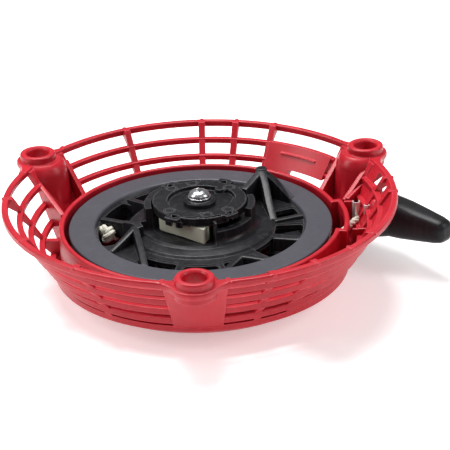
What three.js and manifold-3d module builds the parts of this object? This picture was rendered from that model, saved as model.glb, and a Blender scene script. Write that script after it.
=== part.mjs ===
// Recoil starter for a small vertical-shaft engine, seen from the engine side with its front face down.
// Units are millimetres. The crank axis is Z, the front face lies on z = 0, and +Z points to the engine.

import * as THREE from 'three';
import { mergeVertices } from 'three/addons/utils/BufferGeometryUtils.js';
import Module from 'manifold-3d';

const wasm = await Module();
wasm.setup();

// ---------------------------------------------------------------- driving dimensions

const GAP = 0.3;                    // running or joint gap left between neighbouring solids

// mounting bosses
const BOSS_PITCH_R = 85;            // bolt circle radius
const BOSS_ANGLES = { a: 150, b: 30, c: -90 };
const BOSS_TOP_Z = 45.5;
const BOSS_COLLAR_R = 8;
const BOSS_HOLE_R = 5.06;
const BOSS_COLUMN_R = 10.8;
const BOSS_POCKET_R = 8.3;          // socket pocket under each bolt hole
const BOSS_SHOULDER_Z = 42.4;
const BOSS_SEAT_Z = 37;             // underside of the seat that the bolt head bears on
const BOSS_HALF_WIDTH = 13.5;       // half width of the plain panel at each boss

// louvred cage
const RIM_R = 85;
const RIM_WIDTH = 2.9;
const RIM_BOTTOM_Z = 40.3;
const RIM_TOP_Z = 42.4;
const ROW_COUNT = 5;
const ROW_STEP_Z = 6.55;
const ROW_STEP_R = 4.4;
const BAR_HEIGHT = 2;
const BAR_WIDTH = 3.6;
const TOP_ROW_R = 78.9;
const TOP_ROW_Z = 33.7;
const RIB_WIDTH = 2.2;
const RIB_DEPTH = 4.2;
const CAGE_BOTTOM_Z = 9.7;          // the cage stands on the front face's edge
const CAGE_INNER_R = 62.4;          // and around the drum well

// front face, drum well and centre post
const FACE_FLAT_R = 42;
const FACE_THICKNESS = 2.4;
const FACE_EDGE_R = 61.8;
const FACE_EDGE_Z = 9.4;
const WELL_INNER_R = 59;
const WELL_OUTER_R = 61.2;
const WELL_TOP_Z = 30;
const SPRING_WALL_R = 30;
const SPRING_WALL_TOP_Z = 10.6;
const POST_R = 7;
const POST_NECK_R = 5.5;
const POST_SHOULDER_Z = 28;
const POST_TOP_Z = 38;

// rope way
const PULL_ANGLE = 43;              // direction in which the rope leaves, from +X towards +Y
const ROPE_R = 1.4;
const ROPE_EXIT_Z = 21.5;
const GUIDE_AT = new THREE.Vector3(70.2, 11.5, ROPE_EXIT_Z);
const GRIP_AXIS_Z = 19.5;
const GRIP_CENTRE_ALONG = 17.5;     // from the rope guide to the middle of the grip's bar
const GRIP_HALF_LENGTH = 34.5;
const GRIP_ROLL = 4;                // the bar's far end stands this many degrees higher
const BULGE_INNER_R = 62.2;
const BULGE_OUTER_R = 64.5;
const BULGE_BOTTOM_Z = 19;          // below this height the cage itself closes the bulge
const BULGE_FROM = -12;
const BULGE_TO = 16;

// reel
const REEL_R = 57;
const REEL_TOP_Z = 28.7;
const REEL_BOTTOM_Z = 15.7;
const FLANGE_THICKNESS = 2.3;
const BARREL_R = 47;
const BARREL_INNER_R = 44.5;
const DECK_TOP_Z = 26.7;
const DECK_BOTTOM_Z = 24.2;
const HUB_R = 24;
const HUB_INNER_R = 20.9;
const HUB_TOP_Z = 38.7;
const HUB_FLOOR_Z = 28.7;
const SLEEVE_R = 10.5;
const SLEEVE_BOTTOM_Z = 11.3;
const REEL_BORE_R = 7.4;
const WOUND_ROPE_R = 51;

// pawls and ratchet guide
const PAWL_PIVOT = new THREE.Vector2(-13.5, -5.5);
const PAWL_EYE_R = 4;
const PAWL_BORE_R = 2;
const PAWL_PIN_R = 1.7;
const PAWL_BOTTOM_Z = 29;
const PAWL_TOP_Z = 35.9;
const GUIDE_R = 20.3;
const GUIDE_BOTTOM_Z = 36.2;
const GUIDE_TOP_Z = 40;
const GUIDE_RECESS_R = 13.9;
const GUIDE_RECESS_Z = 38;

// ---------------------------------------------------------------- helpers

const rad = (deg) => deg * Math.PI / 180;
const polar = (r, deg, z = 0) => new THREE.Vector3(r * Math.cos(rad(deg)), r * Math.sin(rad(deg)), z);

/** Outer radius of the cage at height z. */
function cageRadius(z) {
  return TOP_ROW_R + (z - TOP_ROW_Z) * ROW_STEP_R / ROW_STEP_Z;
}

function toSolid(geometry) {
  const bare = geometry.clone();
  bare.deleteAttribute('normal');
  bare.deleteAttribute('uv');
  const merged = mergeVertices(bare, 1e-4);
  return new wasm.Manifold(new wasm.Mesh({
    numProp: 3,
    vertProperties: new Float32Array(merged.attributes.position.array),
    triVerts: new Uint32Array(merged.index.array),
  }));
}

function toGeometry(solid) {
  const mesh = solid.getMesh();
  const geometry = new THREE.BufferGeometry();
  geometry.setAttribute('position', new THREE.BufferAttribute(mesh.vertProperties, 3));
  geometry.setIndex(new THREE.BufferAttribute(mesh.triVerts, 1));
  geometry.computeVertexNormals();
  return geometry;
}

/** Joins the first list of geometries and cuts the second from them. */
function shape(joined, cut = []) {
  let solid = joined.map(toSolid).reduce((sum, next) => sum.add(next));
  for (const tool of cut) {
    solid = solid.subtract(toSolid(tool));
  }
  return toGeometry(solid.asOriginal());
}

/** Solid of revolution about Z from [radius, height] pairs. */
function turned(points, segments = 24) {
  const profile = points.map(([r, z]) => new THREE.Vector2(r, z));
  if (points[0][0] > 0 || points.at(-1)[0] > 0) {
    profile.push(profile[0].clone());
  }
  return new THREE.LatheGeometry(profile, segments).rotateX(Math.PI / 2);
}

/** Flat outline between heights z0 and z1. */
function plate(outline, z0, z1, curveSegments = 12) {
  const options = { depth: z1 - z0, bevelEnabled: false, curveSegments };
  return new THREE.ExtrudeGeometry(outline, options).translate(0, 0, z0);
}

function polygon(points) {
  return new THREE.Shape(points.map(([x, y]) => new THREE.Vector2(x, y)));
}

/** Ring sector between two radii and two angles in degrees. */
function sector(r0, r1, from, to, z0, z1, step = 14) {
  const outline = new THREE.Shape();
  outline.absarc(0, 0, r1, rad(from), rad(to), false);
  outline.absarc(0, 0, r0, rad(to), rad(from), true);
  // an arc gets two points for each curve segment
  return plate(outline, z0, z1, Math.max(1, Math.round((to - from) / step / 2)));
}

function cylinder(r, z0, z1, x = 0, y = 0, segments = 18) {
  const geometry = new THREE.CylinderGeometry(r, r, z1 - z0, segments).rotateX(Math.PI / 2);
  return geometry.translate(x, y, (z0 + z1) / 2);
}

/** Wall of the given thickness that stands in the radial plane at an angle; profile is [radius, height]. */
function radialWall(profile, thickness, angle) {
  const wall = plate(polygon(profile), -thickness / 2, thickness / 2).rotateX(Math.PI / 2);
  return wall.rotateZ(rad(angle));
}

/** Vertical wall between two plan points, with its own height at each end. */
function wallBetween([x0, y0, top0], [x1, y1, top1], bottom, thickness) {
  const length = Math.hypot(x1 - x0, y1 - y0);
  const outline = polygon([[0, bottom], [length, bottom], [length, top1], [0, top0]]);
  const wall = plate(outline, -thickness / 2, thickness / 2).rotateX(Math.PI / 2);
  return wall.rotateZ(Math.atan2(y1 - y0, x1 - x0)).translate(x0, y0, 0);
}

/** Round bar or cord along a list of points. */
function cord(points, radius, steps, sides = 8) {
  const outline = new THREE.Shape();
  outline.absarc(0, 0, radius, 0, 2 * Math.PI, false);
  const path = new THREE.CatmullRomCurve3(points, false, 'centripetal');
  const options = { steps, extrudePath: path, bevelEnabled: false, curveSegments: sides / 2 };
  return new THREE.ExtrudeGeometry(outline, options);
}

const FINISHES = {
  housing: { color: 0xc0283a, roughness: 0.45, metalness: 0 },
  reel: { color: 0x2b2b2e, roughness: 0.5, metalness: 0 },
  steel: { color: 0xc8c8c4, roughness: 0.25, metalness: 1 },
  spring: { color: 0x5a5c60, roughness: 0.35, metalness: 1 },
  pawl: { color: 0x969a88, roughness: 0.5, metalness: 0 },
  rope: { color: 0xebe8d8, roughness: 0.9, metalness: 0 },
  grip: { color: 0x1c1c1e, roughness: 0.4, metalness: 0 },
};

const starter = new THREE.Group();

function addNode(name, geometry, finish) {
  const mesh = new THREE.Mesh(geometry, new THREE.MeshStandardMaterial(FINISHES[finish]));
  mesh.name = name;
  starter.add(mesh);
}

// ---------------------------------------------------------------- housing: face, post, well

function frontFace() {
  const t = FACE_THICKNESS;
  return turned([
    [0, 0], [FACE_FLAT_R, 0], [50, 1.6], [56, 4.6], [FACE_EDGE_R, FACE_EDGE_Z],
    [FACE_EDGE_R - 3, FACE_EDGE_Z], [54.6, 6.6], [49.3, 3.9], [FACE_FLAT_R, t], [0, t],
  ], 36);
}

/** Round wall inside the face that holds the clock spring. */
function springWall() {
  const [inner, outer] = [SPRING_WALL_R, SPRING_WALL_R + 1.8];
  const bottom = FACE_THICKNESS + GAP;
  return turned([
    [inner, bottom], [outer, bottom], [outer, SPRING_WALL_TOP_Z], [inner, SPRING_WALL_TOP_Z],
  ], 36);
}

function centrePost() {
  const boreR = 2.3;
  const boreBottom = 22;
  return turned([
    [0, FACE_THICKNESS + GAP], [POST_R, FACE_THICKNESS + GAP], [POST_R, POST_SHOULDER_Z],
    [POST_NECK_R, POST_SHOULDER_Z], [POST_NECK_R, POST_TOP_Z], [boreR, POST_TOP_Z],
    [boreR, boreBottom], [0, boreBottom],
  ], 24);
}

function drumWell() {
  const bottom = FACE_EDGE_Z + GAP;
  const ring = sector(WELL_INNER_R, WELL_OUTER_R, BULGE_TO, 360 + BULGE_FROM, bottom, WELL_TOP_Z, 7);
  const bulge = sector(BULGE_INNER_R, BULGE_OUTER_R, BULGE_FROM, BULGE_TO, BULGE_BOTTOM_Z, WELL_TOP_Z, 7);
  const sill = sector(WELL_INNER_R, WELL_OUTER_R, BULGE_FROM, BULGE_TO, bottom, bottom + 4, 7);
  const end = [
    [WELL_INNER_R, bottom], [WELL_OUTER_R, bottom], [WELL_OUTER_R, bottom + 6.6],
    [BULGE_OUTER_R, BULGE_BOTTOM_Z], [BULGE_OUTER_R, WELL_TOP_Z], [WELL_INNER_R, WELL_TOP_Z],
  ];
  const ends = [BULGE_FROM, BULGE_TO].map((angle) => radialWall(end, 2.4, angle));
  const ropeWindow = sector(BULGE_INNER_R - 1, BULGE_OUTER_R + 1, -7, 9, BULGE_BOTTOM_Z - 1, 26.4);
  return shape([ring, bulge, sill, ...ends], [ropeWindow]);
}

// ---------------------------------------------------------------- housing: louvred cage

/** Profile of a cage rib: it follows the steps of the louvres outside and is straight inside. */
function ribProfile(depth) {
  const bottom = CAGE_BOTTOM_Z;
  return [
    [cageRadius(bottom), bottom], [cageRadius(RIM_BOTTOM_Z), RIM_BOTTOM_Z], [RIM_R, RIM_BOTTOM_Z],
    [RIM_R, RIM_TOP_Z], [RIM_R - depth, RIM_TOP_Z], [CAGE_INNER_R, bottom + depth],
    [CAGE_INNER_R, bottom],
  ];
}

/** Solid conical sheet that follows the cage. */
function cageSheet(from, to, bottom, top, thickness) {
  const sheet = turned([
    [cageRadius(bottom), bottom], [cageRadius(top), top],
    [cageRadius(top) - thickness, top], [cageRadius(bottom) - thickness, bottom],
  ], 60);
  const bay = sector(CAGE_INNER_R, 110, from, to, bottom - 1, top + 1);
  return toGeometry(toSolid(sheet).intersect(toSolid(bay)));
}

/** One louvred bay from a rib up to the next bay, which keeps its own rib; blind sheets are [from, to, bottom, top]. */
function louvredBay(from, to, ribAngles, blindSheets) {
  const parts = [sector(RIM_R - RIM_WIDTH, RIM_R, from, to, RIM_BOTTOM_Z, RIM_TOP_Z)];
  for (let row = 0; row < ROW_COUNT - 1; row += 1) {
    const r = TOP_ROW_R - row * ROW_STEP_R;
    const z = TOP_ROW_Z - row * ROW_STEP_Z;
    parts.push(sector(r - BAR_WIDTH, r, from, to, z, z + BAR_HEIGHT));
  }
  parts.push(sector(CAGE_INNER_R, cageRadius(CAGE_BOTTOM_Z) + 1.4, from, to, CAGE_BOTTOM_Z, CAGE_BOTTOM_Z + BAR_HEIGHT));
  for (const angle of ribAngles) {
    parts.push(radialWall(ribProfile(RIB_DEPTH), RIB_WIDTH, angle));
  }
  for (const [start, end, bottom, top] of blindSheets) {
    parts.push(cageSheet(start, end, bottom, top, 2.4));
  }
  return shape(parts);
}

// ---------------------------------------------------------------- housing: mounting bosses

function mountingBoss(angle) {
  const centre = polar(BOSS_PITCH_R, angle);
  const halfAngle = THREE.MathUtils.radToDeg(Math.asin(BOSS_HALF_WIDTH / BOSS_PITCH_R)) - 0.2;
  const panel = cageSheet(angle - halfAngle, angle + halfAngle, CAGE_BOTTOM_Z, RIM_TOP_Z, 3);
  const rim = sector(RIM_R - RIM_WIDTH, RIM_R + 0.5, angle - halfAngle, angle + halfAngle, RIM_BOTTOM_Z, RIM_TOP_Z);
  const cone = turned([[0, CAGE_BOTTOM_Z], [cageRadius(CAGE_BOTTOM_Z), CAGE_BOTTOM_Z],
    [cageRadius(RIM_TOP_Z), RIM_TOP_Z], [0, RIM_TOP_Z]], 60);
  const column = toSolid(cylinder(BOSS_COLUMN_R, 16, BOSS_SHOULDER_Z, centre.x, centre.y));
  const innerColumn = toGeometry(column.intersect(toSolid(cone)));
  const shoulder = cylinder(BOSS_COLUMN_R, BOSS_SEAT_Z, BOSS_SHOULDER_Z, centre.x, centre.y);
  const collar = cylinder(BOSS_COLLAR_R, BOSS_SEAT_Z, BOSS_TOP_Z, centre.x, centre.y);
  const webs = [-1, 1].map((side) => {
    const web = [[WELL_OUTER_R + 2 * GAP, 16], [WELL_OUTER_R + 2 * GAP, WELL_TOP_Z - 0.6], [81, 40], [81, 34], [68, 16]];
    return radialWall(web, 2, angle + side * (halfAngle - 1.6));
  });
  const pocket = cylinder(BOSS_POCKET_R, 0, BOSS_SEAT_Z, centre.x, centre.y);
  const hole = cylinder(BOSS_HOLE_R, 0, BOSS_TOP_Z + 1, centre.x, centre.y);
  return shape([panel, rim, innerColumn, shoulder, collar, ...webs], [pocket, hole]);
}

// ---------------------------------------------------------------- housing: rope chamber

const pullDirection = polar(1, PULL_ANGLE);
const acrossPull = new THREE.Vector3(pullDirection.y, -pullDirection.x, 0);

/** Point measured from the rope guide along the pull and across it. */
function fromGuide(along, across, z) {
  const point = GUIDE_AT.clone().addScaledVector(pullDirection, along).addScaledVector(acrossPull, across);
  point.z = z;
  return point;
}

/** Cage bay that the rope leaves through, with the walls that carry the steel rope guide. */
function ropeExitBay(from, to) {
  const sheetTop = 35.7;
  const panel = cageSheet(from, to, CAGE_BOTTOM_Z, sheetTop, 3);
  const rim = sector(RIM_R - RIM_WIDTH, RIM_R, from, to, RIM_BOTTOM_Z, RIM_TOP_Z);
  const ribs = [-0.8, 9].map((angle) => radialWall(ribProfile(RIB_DEPTH), RIB_WIDTH, angle));
  const inner = fromGuide(0.4, -5.2, 0);
  const outer = fromGuide(0.4, 5.2, 0);
  const root = polar(BULGE_OUTER_R + 1.4, 15.4);
  const walls = [
    wallBetween([inner.x, inner.y, WELL_TOP_Z], [root.x, root.y, WELL_TOP_Z], 17, 1.6),
    wallBetween([outer.x, outer.y, WELL_TOP_Z], [75.8, 6, WELL_TOP_Z], 17, 1.6),
    wallBetween([65.6, -2.6, 25.6], [71, -2.6, 25.6], 19, 1.8),
  ];
  const way = new THREE.CylinderGeometry(4.8, 4.8, 30, 12).rotateZ(-Math.PI / 2);
  way.rotateZ(rad(PULL_ANGLE)).translate(...fromGuide(8, 0, GRIP_AXIS_Z + 2));
  const slit = wallBetween([...fromGuide(-6, 0, 0).toArray().slice(0, 2), WELL_TOP_Z + 1],
    [...fromGuide(9, 0, 0).toArray().slice(0, 2), WELL_TOP_Z + 1], GRIP_AXIS_Z + 2, 8.2);
  return shape([panel, rim, ...ribs, ...walls], [way, slit]);
}

// ---------------------------------------------------------------- reel

/** Deck windows as [inner radius, from, to]. */
const REEL_WINDOWS = [
  [37.5, -126, -105], [38.5, -99, -79], [38, -74, -53], [33.5, -47, -21], [32.5, -16, 1],
  [33, 6, 24], [33, 60, 95], [32, 100, 136], [31, 143, 166], [32, 171, 202],
];

/** Stiffening fins of the two gussets as plan points with ridge heights. */
const FRONT_GUSSET = [
  [[-24.6, -8.5, 33], [-29.4, -14, 34]], [[-29.4, -14, 34], [-38, -25.5, 29.6]], [[-29.4, -14, 34], [-22.5, -40, 29.6]],
];
const BACK_GUSSET = [
  [[21.6, 18, 34], [26, 33, 38.5]], [[26, 33, 38.5], [32, 3.5, 29.6]], [[26, 33, 38.5], [40, 23, 29.6]],
];

/** Rope barrel between its two flanges. */
function reelBarrel() {
  return turned([
    [BARREL_INNER_R, REEL_BOTTOM_Z], [REEL_R, REEL_BOTTOM_Z],
    [REEL_R, REEL_BOTTOM_Z + FLANGE_THICKNESS], [BARREL_R, REEL_BOTTOM_Z + FLANGE_THICKNESS],
    [BARREL_R, REEL_TOP_Z - FLANGE_THICKNESS], [REEL_R, REEL_TOP_Z - FLANGE_THICKNESS],
    [REEL_R, REEL_TOP_Z], [BARREL_INNER_R, REEL_TOP_Z],
  ], 40);
}

/** Spoked web of the reel between the hub and the barrel. */
function reelDeck() {
  const inner = HUB_R + 3.5;
  const outer = BARREL_INNER_R - GAP;
  const web = sector(inner, outer, 0, 360, DECK_BOTTOM_Z, DECK_TOP_Z, 9);
  const windows = REEL_WINDOWS.map(([r0, from, to]) => {
    return sector(r0, 44, from, to, DECK_BOTTOM_Z - 1, DECK_TOP_Z + 1);
  });
  return shape([web], windows);
}

/** Three tall fins that meet in a ridge and brace the hub on one side. */
function reelGusset(fins) {
  const bottom = REEL_TOP_Z + GAP;
  const walls = fins.map(([start, end]) => wallBetween(start, end, bottom, 2.2));
  return shape(walls);
}

/** Hub with the pawls' cup above and the spring's sleeve below. */
function reelHub() {
  const skirtR = HUB_R + 3.5 - GAP;
  const body = turned([
    [REEL_BORE_R, SLEEVE_BOTTOM_Z], [SLEEVE_R, SLEEVE_BOTTOM_Z], [SLEEVE_R, DECK_BOTTOM_Z],
    [skirtR, DECK_BOTTOM_Z], [skirtR, DECK_TOP_Z], [HUB_R, HUB_FLOOR_Z - 0.6], [HUB_R, HUB_TOP_Z],
    [HUB_INNER_R, HUB_TOP_Z], [HUB_INNER_R, HUB_FLOOR_Z], [REEL_BORE_R, HUB_FLOOR_Z],
  ], 40);
  const pins = [];
  const cuts = [];
  for (const turn of [0, 180]) {
    const pivot = PAWL_PIVOT.clone().rotateAround(new THREE.Vector2(), rad(turn));
    pins.push(cylinder(PAWL_PIN_R, 25, PAWL_TOP_Z - 0.4, pivot.x, pivot.y, 12));
    cuts.push(sector(HUB_INNER_R - 1, HUB_R + 2, turn - 163, turn - 73, HUB_FLOOR_Z, HUB_TOP_Z + 1));
    cuts.push(cylinder(3.6, 25.8, HUB_FLOOR_Z + 1, pivot.x, pivot.y, 16));
  }
  let solid = toSolid(body);
  for (const cut of cuts) {
    solid = solid.subtract(toSolid(cut));
  }
  for (const pin of pins) {
    solid = solid.add(toSolid(pin));
  }
  return toGeometry(solid);
}

function woundRope() {
  const bottom = REEL_BOTTOM_Z + FLANGE_THICKNESS + GAP;
  const top = REEL_TOP_Z - FLANGE_THICKNESS - GAP;
  return turned([
    [BARREL_R + GAP, bottom], [WOUND_ROPE_R - 1, bottom], [WOUND_ROPE_R, bottom + 1],
    [WOUND_ROPE_R, top - 1], [WOUND_ROPE_R - 1, top], [BARREL_R + GAP, top],
  ], 32);
}

function knot(radius) {
  return new THREE.IcosahedronGeometry(radius, 1);
}

// ---------------------------------------------------------------- pawls and guide

function pawl(turn) {
  const { x, y } = PAWL_PIVOT;
  const blade = plate(polygon([
    [-15.9, -8.9], [-11, -12.2], [-6.5, -15.6], [-2, -19.5], [2.2, -22.6],
    [4.4, -17.6], [0, -13.2], [-5, -8.2], [-10.4, -3.2],
  ]), PAWL_BOTTOM_Z, PAWL_TOP_Z);
  const eye = cylinder(PAWL_EYE_R, PAWL_BOTTOM_Z, PAWL_TOP_Z, x, y, 20);
  const bore = cylinder(PAWL_BORE_R, PAWL_BOTTOM_Z - 1, PAWL_TOP_Z + 1, x, y, 16);
  return shape([blade, eye], [bore]).rotateZ(rad(turn));
}

function pawlSpring(turn) {
  const ring = turned([[2.1, 26.1], [3.2, 26.1], [3.2, 28.4], [2.1, 28.4]], 14);
  return ring.translate(PAWL_PIVOT.x, PAWL_PIVOT.y, 0).rotateZ(rad(turn));
}

function ratchetGuide() {
  const body = turned([
    [POST_NECK_R + GAP, GUIDE_BOTTOM_Z], [GUIDE_R, GUIDE_BOTTOM_Z], [GUIDE_R, GUIDE_TOP_Z],
    [GUIDE_RECESS_R, GUIDE_TOP_Z], [GUIDE_RECESS_R, GUIDE_RECESS_Z], [POST_NECK_R + GAP, GUIDE_RECESS_Z],
  ], 36);
  const hook = cylinder(3.2, GUIDE_RECESS_Z, GUIDE_TOP_Z + 1, 15.6, -1.5, 12);
  const slots = [0, 180].map((turn) => sector(17.6, 19.2, turn - 64, turn - 44, GUIDE_BOTTOM_Z - 1, GUIDE_TOP_Z + 1));
  const tabs = [0, 180].map((turn) => {
    return sector(19, 23, turn - 137, turn - 115, HUB_TOP_Z + GAP, GUIDE_TOP_Z);
  });
  return shape([body, ...tabs], [hook, ...slots]);
}

/** Spring clip that makes the guide drag on the post. */
function frictionSpring() {
  const points = [];
  for (let angle = 20; angle <= 320; angle += 30) {
    points.push(polar(6.7, angle, 33.5));
  }
  points.push(polar(9.5, 335, 33.5));
  return cord(points, 0.6, 22, 6);
}

// ---------------------------------------------------------------- spring, fasteners and rope guide

/** Flat clock spring wound in the front face's pocket. */
function recoilSpring() {
  const turns = 5;
  const innerR = 12.4;
  const outerR = 28.6;
  const thickness = 0.6;
  const perTurn = 14;
  const edge = [];
  for (let i = 0; i <= turns * perTurn; i += 1) {
    const angle = 2 * Math.PI * i / perTurn;
    const r = innerR + (outerR - innerR) * i / (turns * perTurn);
    edge.push([angle, r]);
  }
  const outer = edge.map(([a, r]) => [(r + thickness) * Math.cos(a), (r + thickness) * Math.sin(a)]);
  const inner = edge.map(([a, r]) => [r * Math.cos(a), r * Math.sin(a)]).reverse();
  return plate(polygon([...outer, ...inner]), FACE_THICKNESS + GAP, 10.4);
}

function guideCollar() {
  return turned([[2.6, 38.3], [6.9, 38.3], [6.9, 39.6], [5.9, 40.4], [2.6, 40.4]], 20);
}

function flatWasher() {
  return turned([[2.6, 40.7], [5, 40.7], [5, 41.4], [2.6, 41.4]], 20);
}

function centreScrew() {
  return turned([
    [0, 24], [1.9, 24], [1.9, 41.7], [4.4, 41.7], [4.4, 42.5], [3.6, 43.3], [2, 43.8], [0, 44],
  ], 16);
}

/** Bent steel liner of the rope's way out: a sill under the rope and a rolled edge at each side of it. */
function ropeGuide() {
  const rolls = [-1, 1].map((side) => {
    const at = fromGuide(-0.6, side * 2.7, 0);
    return cylinder(0.9, 18.4, WELL_TOP_Z + 0.6, at.x, at.y, 10);
  });
  const left = fromGuide(-0.6, -2.7, 0);
  const right = fromGuide(-0.6, 2.7, 0);
  const sill = wallBetween([left.x, left.y, 19.6], [right.x, right.y, 19.6], 18.4, 1.2);
  return shape([...rolls, sill]);
}

// ---------------------------------------------------------------- grip and rope

/** Bar of the grip: stations across the pull, each with its own half width along the pull and half height. */
const GRIP_STATIONS = [
  [-1, 3, 3.4], [-0.94, 5, 5], [-0.7, 6.3, 6.6], [-0.35, 8, 8.4], [0, 9, 9.2],
  [0.35, 8, 8.4], [0.7, 6.3, 6.6], [0.94, 5, 5], [1, 3, 3.4],
];

function loft(stations, sides) {
  const positions = [];
  const index = [];
  const addTriangle = (a, b, c) => index.push(a, b, c);
  for (const { centre, along, up, halfAlong, halfUp } of stations) {
    for (let i = 0; i < sides; i += 1) {
      const t = 2 * Math.PI * i / sides;
      const point = centre.clone().addScaledVector(along, halfAlong * Math.cos(t)).addScaledVector(up, halfUp * Math.sin(t));
      positions.push(point.x, point.y, point.z);
    }
  }
  for (let s = 0; s + 1 < stations.length; s += 1) {
    for (let i = 0; i < sides; i += 1) {
      const [a, b] = [s * sides + i, s * sides + (i + 1) % sides];
      addTriangle(a, b, b + sides);
      addTriangle(a, b + sides, a + sides);
    }
  }
  const last = (stations.length - 1) * sides;
  for (let i = 1; i + 1 < sides; i += 1) {
    addTriangle(0, i + 1, i);
    addTriangle(last, last + i, last + i + 1);
  }
  const geometry = new THREE.BufferGeometry();
  geometry.setAttribute('position', new THREE.Float32BufferAttribute(positions, 3));
  geometry.setIndex(index);
  return geometry;
}

const up = new THREE.Vector3(0, 0, 1);

const barDirection = acrossPull.clone().multiplyScalar(Math.cos(rad(GRIP_ROLL)))
  .addScaledVector(up, Math.sin(rad(GRIP_ROLL)));
const barUp = pullDirection.clone().cross(barDirection).negate();

/** Round tool along the pull, used for the rope bore and the knot's pocket. */
function alongPull(radius, from, to, sides = 16) {
  const rod = new THREE.CylinderGeometry(radius, radius, to - from, sides).rotateZ(-Math.PI / 2);
  return rod.rotateZ(rad(PULL_ANGLE)).translate(...fromGuide((from + to) / 2, 0, GRIP_AXIS_Z));
}

function grip() {
  const middle = fromGuide(GRIP_CENTRE_ALONG, 0, GRIP_AXIS_Z);
  const bar = loft(GRIP_STATIONS.map(([place, halfAlong, halfUp]) => ({
    centre: middle.clone().addScaledVector(barDirection, place * GRIP_HALF_LENGTH),
    along: pullDirection, up: barUp, halfAlong, halfUp,
  })), 16);
  const neckStations = [[6.4, 6.6, 7], [9, 7.4, 7.6], [GRIP_CENTRE_ALONG, 8.2, 8.2]];
  const neck = loft(neckStations.map(([along, halfAcross, halfUp]) => ({
    centre: fromGuide(along, 0, GRIP_AXIS_Z), along: acrossPull.clone().negate(), up, halfAlong: halfAcross, halfUp,
  })), 16);
  return shape([bar, neck], [
    alongPull(2.1, 0, GRIP_CENTRE_ALONG + 2), alongPull(4.6, GRIP_CENTRE_ALONG, GRIP_CENTRE_ALONG + 14),
  ]);
}

function gripCap() {
  return alongPull(4.3, GRIP_CENTRE_ALONG + 7.4, GRIP_CENTRE_ALONG + 9);
}

/** Rope from the reel's winding, through the steel guide, to the knot in the grip. */
function ropeRun() {
  const startR = WOUND_ROPE_R + GAP + ROPE_R;
  const entry = fromGuide(-2.6, -0.2, ROPE_EXIT_Z);
  const reach = Math.sqrt(entry.x ** 2 + entry.y ** 2 - startR ** 2);
  const heading = Math.atan2(entry.y, entry.x) + Math.asin(startR / Math.hypot(entry.x, entry.y));
  const start = new THREE.Vector3(entry.x - reach * Math.cos(heading), entry.y - reach * Math.sin(heading), ROPE_EXIT_Z);
  return cord([
    start, start.clone().lerp(entry, 0.5), entry, fromGuide(0, 0, ROPE_EXIT_Z - 0.3), fromGuide(4, 0, GRIP_AXIS_Z + 0.6),
    fromGuide(9, 0, GRIP_AXIS_Z), fromGuide(GRIP_CENTRE_ALONG - 0.4, 0, GRIP_AXIS_Z),
  ], ROPE_R, 20);
}

// ---------------------------------------------------------------- assembly

addNode('front_face', frontFace(), 'housing');
addNode('spring_wall', springWall(), 'housing');
addNode('centre_post', centrePost(), 'housing');
addNode('drum_well', drumWell(), 'housing');

/** Cage bays between the bosses: name, from, to, rib angles, blind sheets. */
const BAYS = [
  ['cage_bay_back_1', 40.2, 67.6, [66.4], [[40.2, 67.6, 28, 35.7], [56, 67.6, CAGE_BOTTOM_Z, 28.2]]],
  ['cage_bay_back_2', 67.9, 91.6, [79.2, 90.4], []],
  ['cage_bay_back_3', 91.9, 116.8, [115.6], []],
  ['cage_bay_back_4', 117.1, 139.8, [138.9], []],
  ['cage_bay_left_1', 160.2, 181.1, [179.9], []],
  ['cage_bay_left_2', 181.4, 211.3, [210.1], []],
  ['cage_bay_left_3', 211.6, 235.7, [234.5], []],
  ['cage_bay_left_4', 236, 259.8, [258.9], []],
  ['cage_bay_right_1', -79.8, -67, [-68.2], []],
  ['cage_bay_right_2', -66.7, -53.6, [-54.8], []],
  ['cage_bay_right_3', -53.3, -29.3, [-30.5], [[-53.3, -29.3, CAGE_BOTTOM_Z, RIM_TOP_Z]]],
  ['cage_bay_right_4', -29, -6.2, [-28.1], [[-29, -6.2, CAGE_BOTTOM_Z, 35.7]]],
];
for (const [name, from, to, ribs, blindSheets] of BAYS) {
  addNode(name, louvredBay(from, to, ribs, blindSheets), 'housing');
}
addNode('rope_exit_bay', ropeExitBay(-5.9, 19.8), 'housing');
for (const [letter, angle] of Object.entries(BOSS_ANGLES)) {
  addNode(`mounting_boss_${letter}`, mountingBoss(angle), 'housing');
}
addNode('rope_guide', ropeGuide(), 'steel');
addNode('recoil_spring', recoilSpring(), 'spring');
addNode('guide_collar', guideCollar(), 'reel');
addNode('flat_washer', flatWasher(), 'steel');
addNode('centre_screw', centreScrew(), 'steel');

addNode('reel', reelBarrel(), 'reel');
addNode('reel_deck', reelDeck(), 'reel');
addNode('reel_hub', reelHub(), 'reel');
addNode('reel_gusset_front', reelGusset(FRONT_GUSSET), 'reel');
addNode('reel_gusset_back', reelGusset(BACK_GUSSET), 'reel');
addNode('wound_rope', woundRope(), 'rope');
addNode('reel_knot', knot(3).translate(-39.6, 2.2, 21), 'rope');
addNode('pawl_1', pawl(0), 'pawl');
addNode('pawl_2', pawl(180), 'pawl');
addNode('pawl_spring_1', pawlSpring(0), 'spring');
addNode('pawl_spring_2', pawlSpring(180), 'spring');
addNode('ratchet_guide', ratchetGuide(), 'reel');
addNode('friction_spring', frictionSpring(), 'spring');

addNode('grip', grip(), 'grip');
addNode('grip_cap', gripCap(), 'grip');
addNode('grip_knot', knot(3.2).translate(...fromGuide(GRIP_CENTRE_ALONG + 3.6, 0, GRIP_AXIS_Z)), 'rope');
addNode('rope_run', ropeRun(), 'rope');

export default starter;
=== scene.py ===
"""Recoil starter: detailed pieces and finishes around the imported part.

Sizes are in millimetres until a piece's mesh is scaled to metres. The crank axis is Z, and the
starter stands on its front face, with the engine side up.
"""

import math

import bmesh
import bpy
from mathutils import Matrix, Vector


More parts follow.
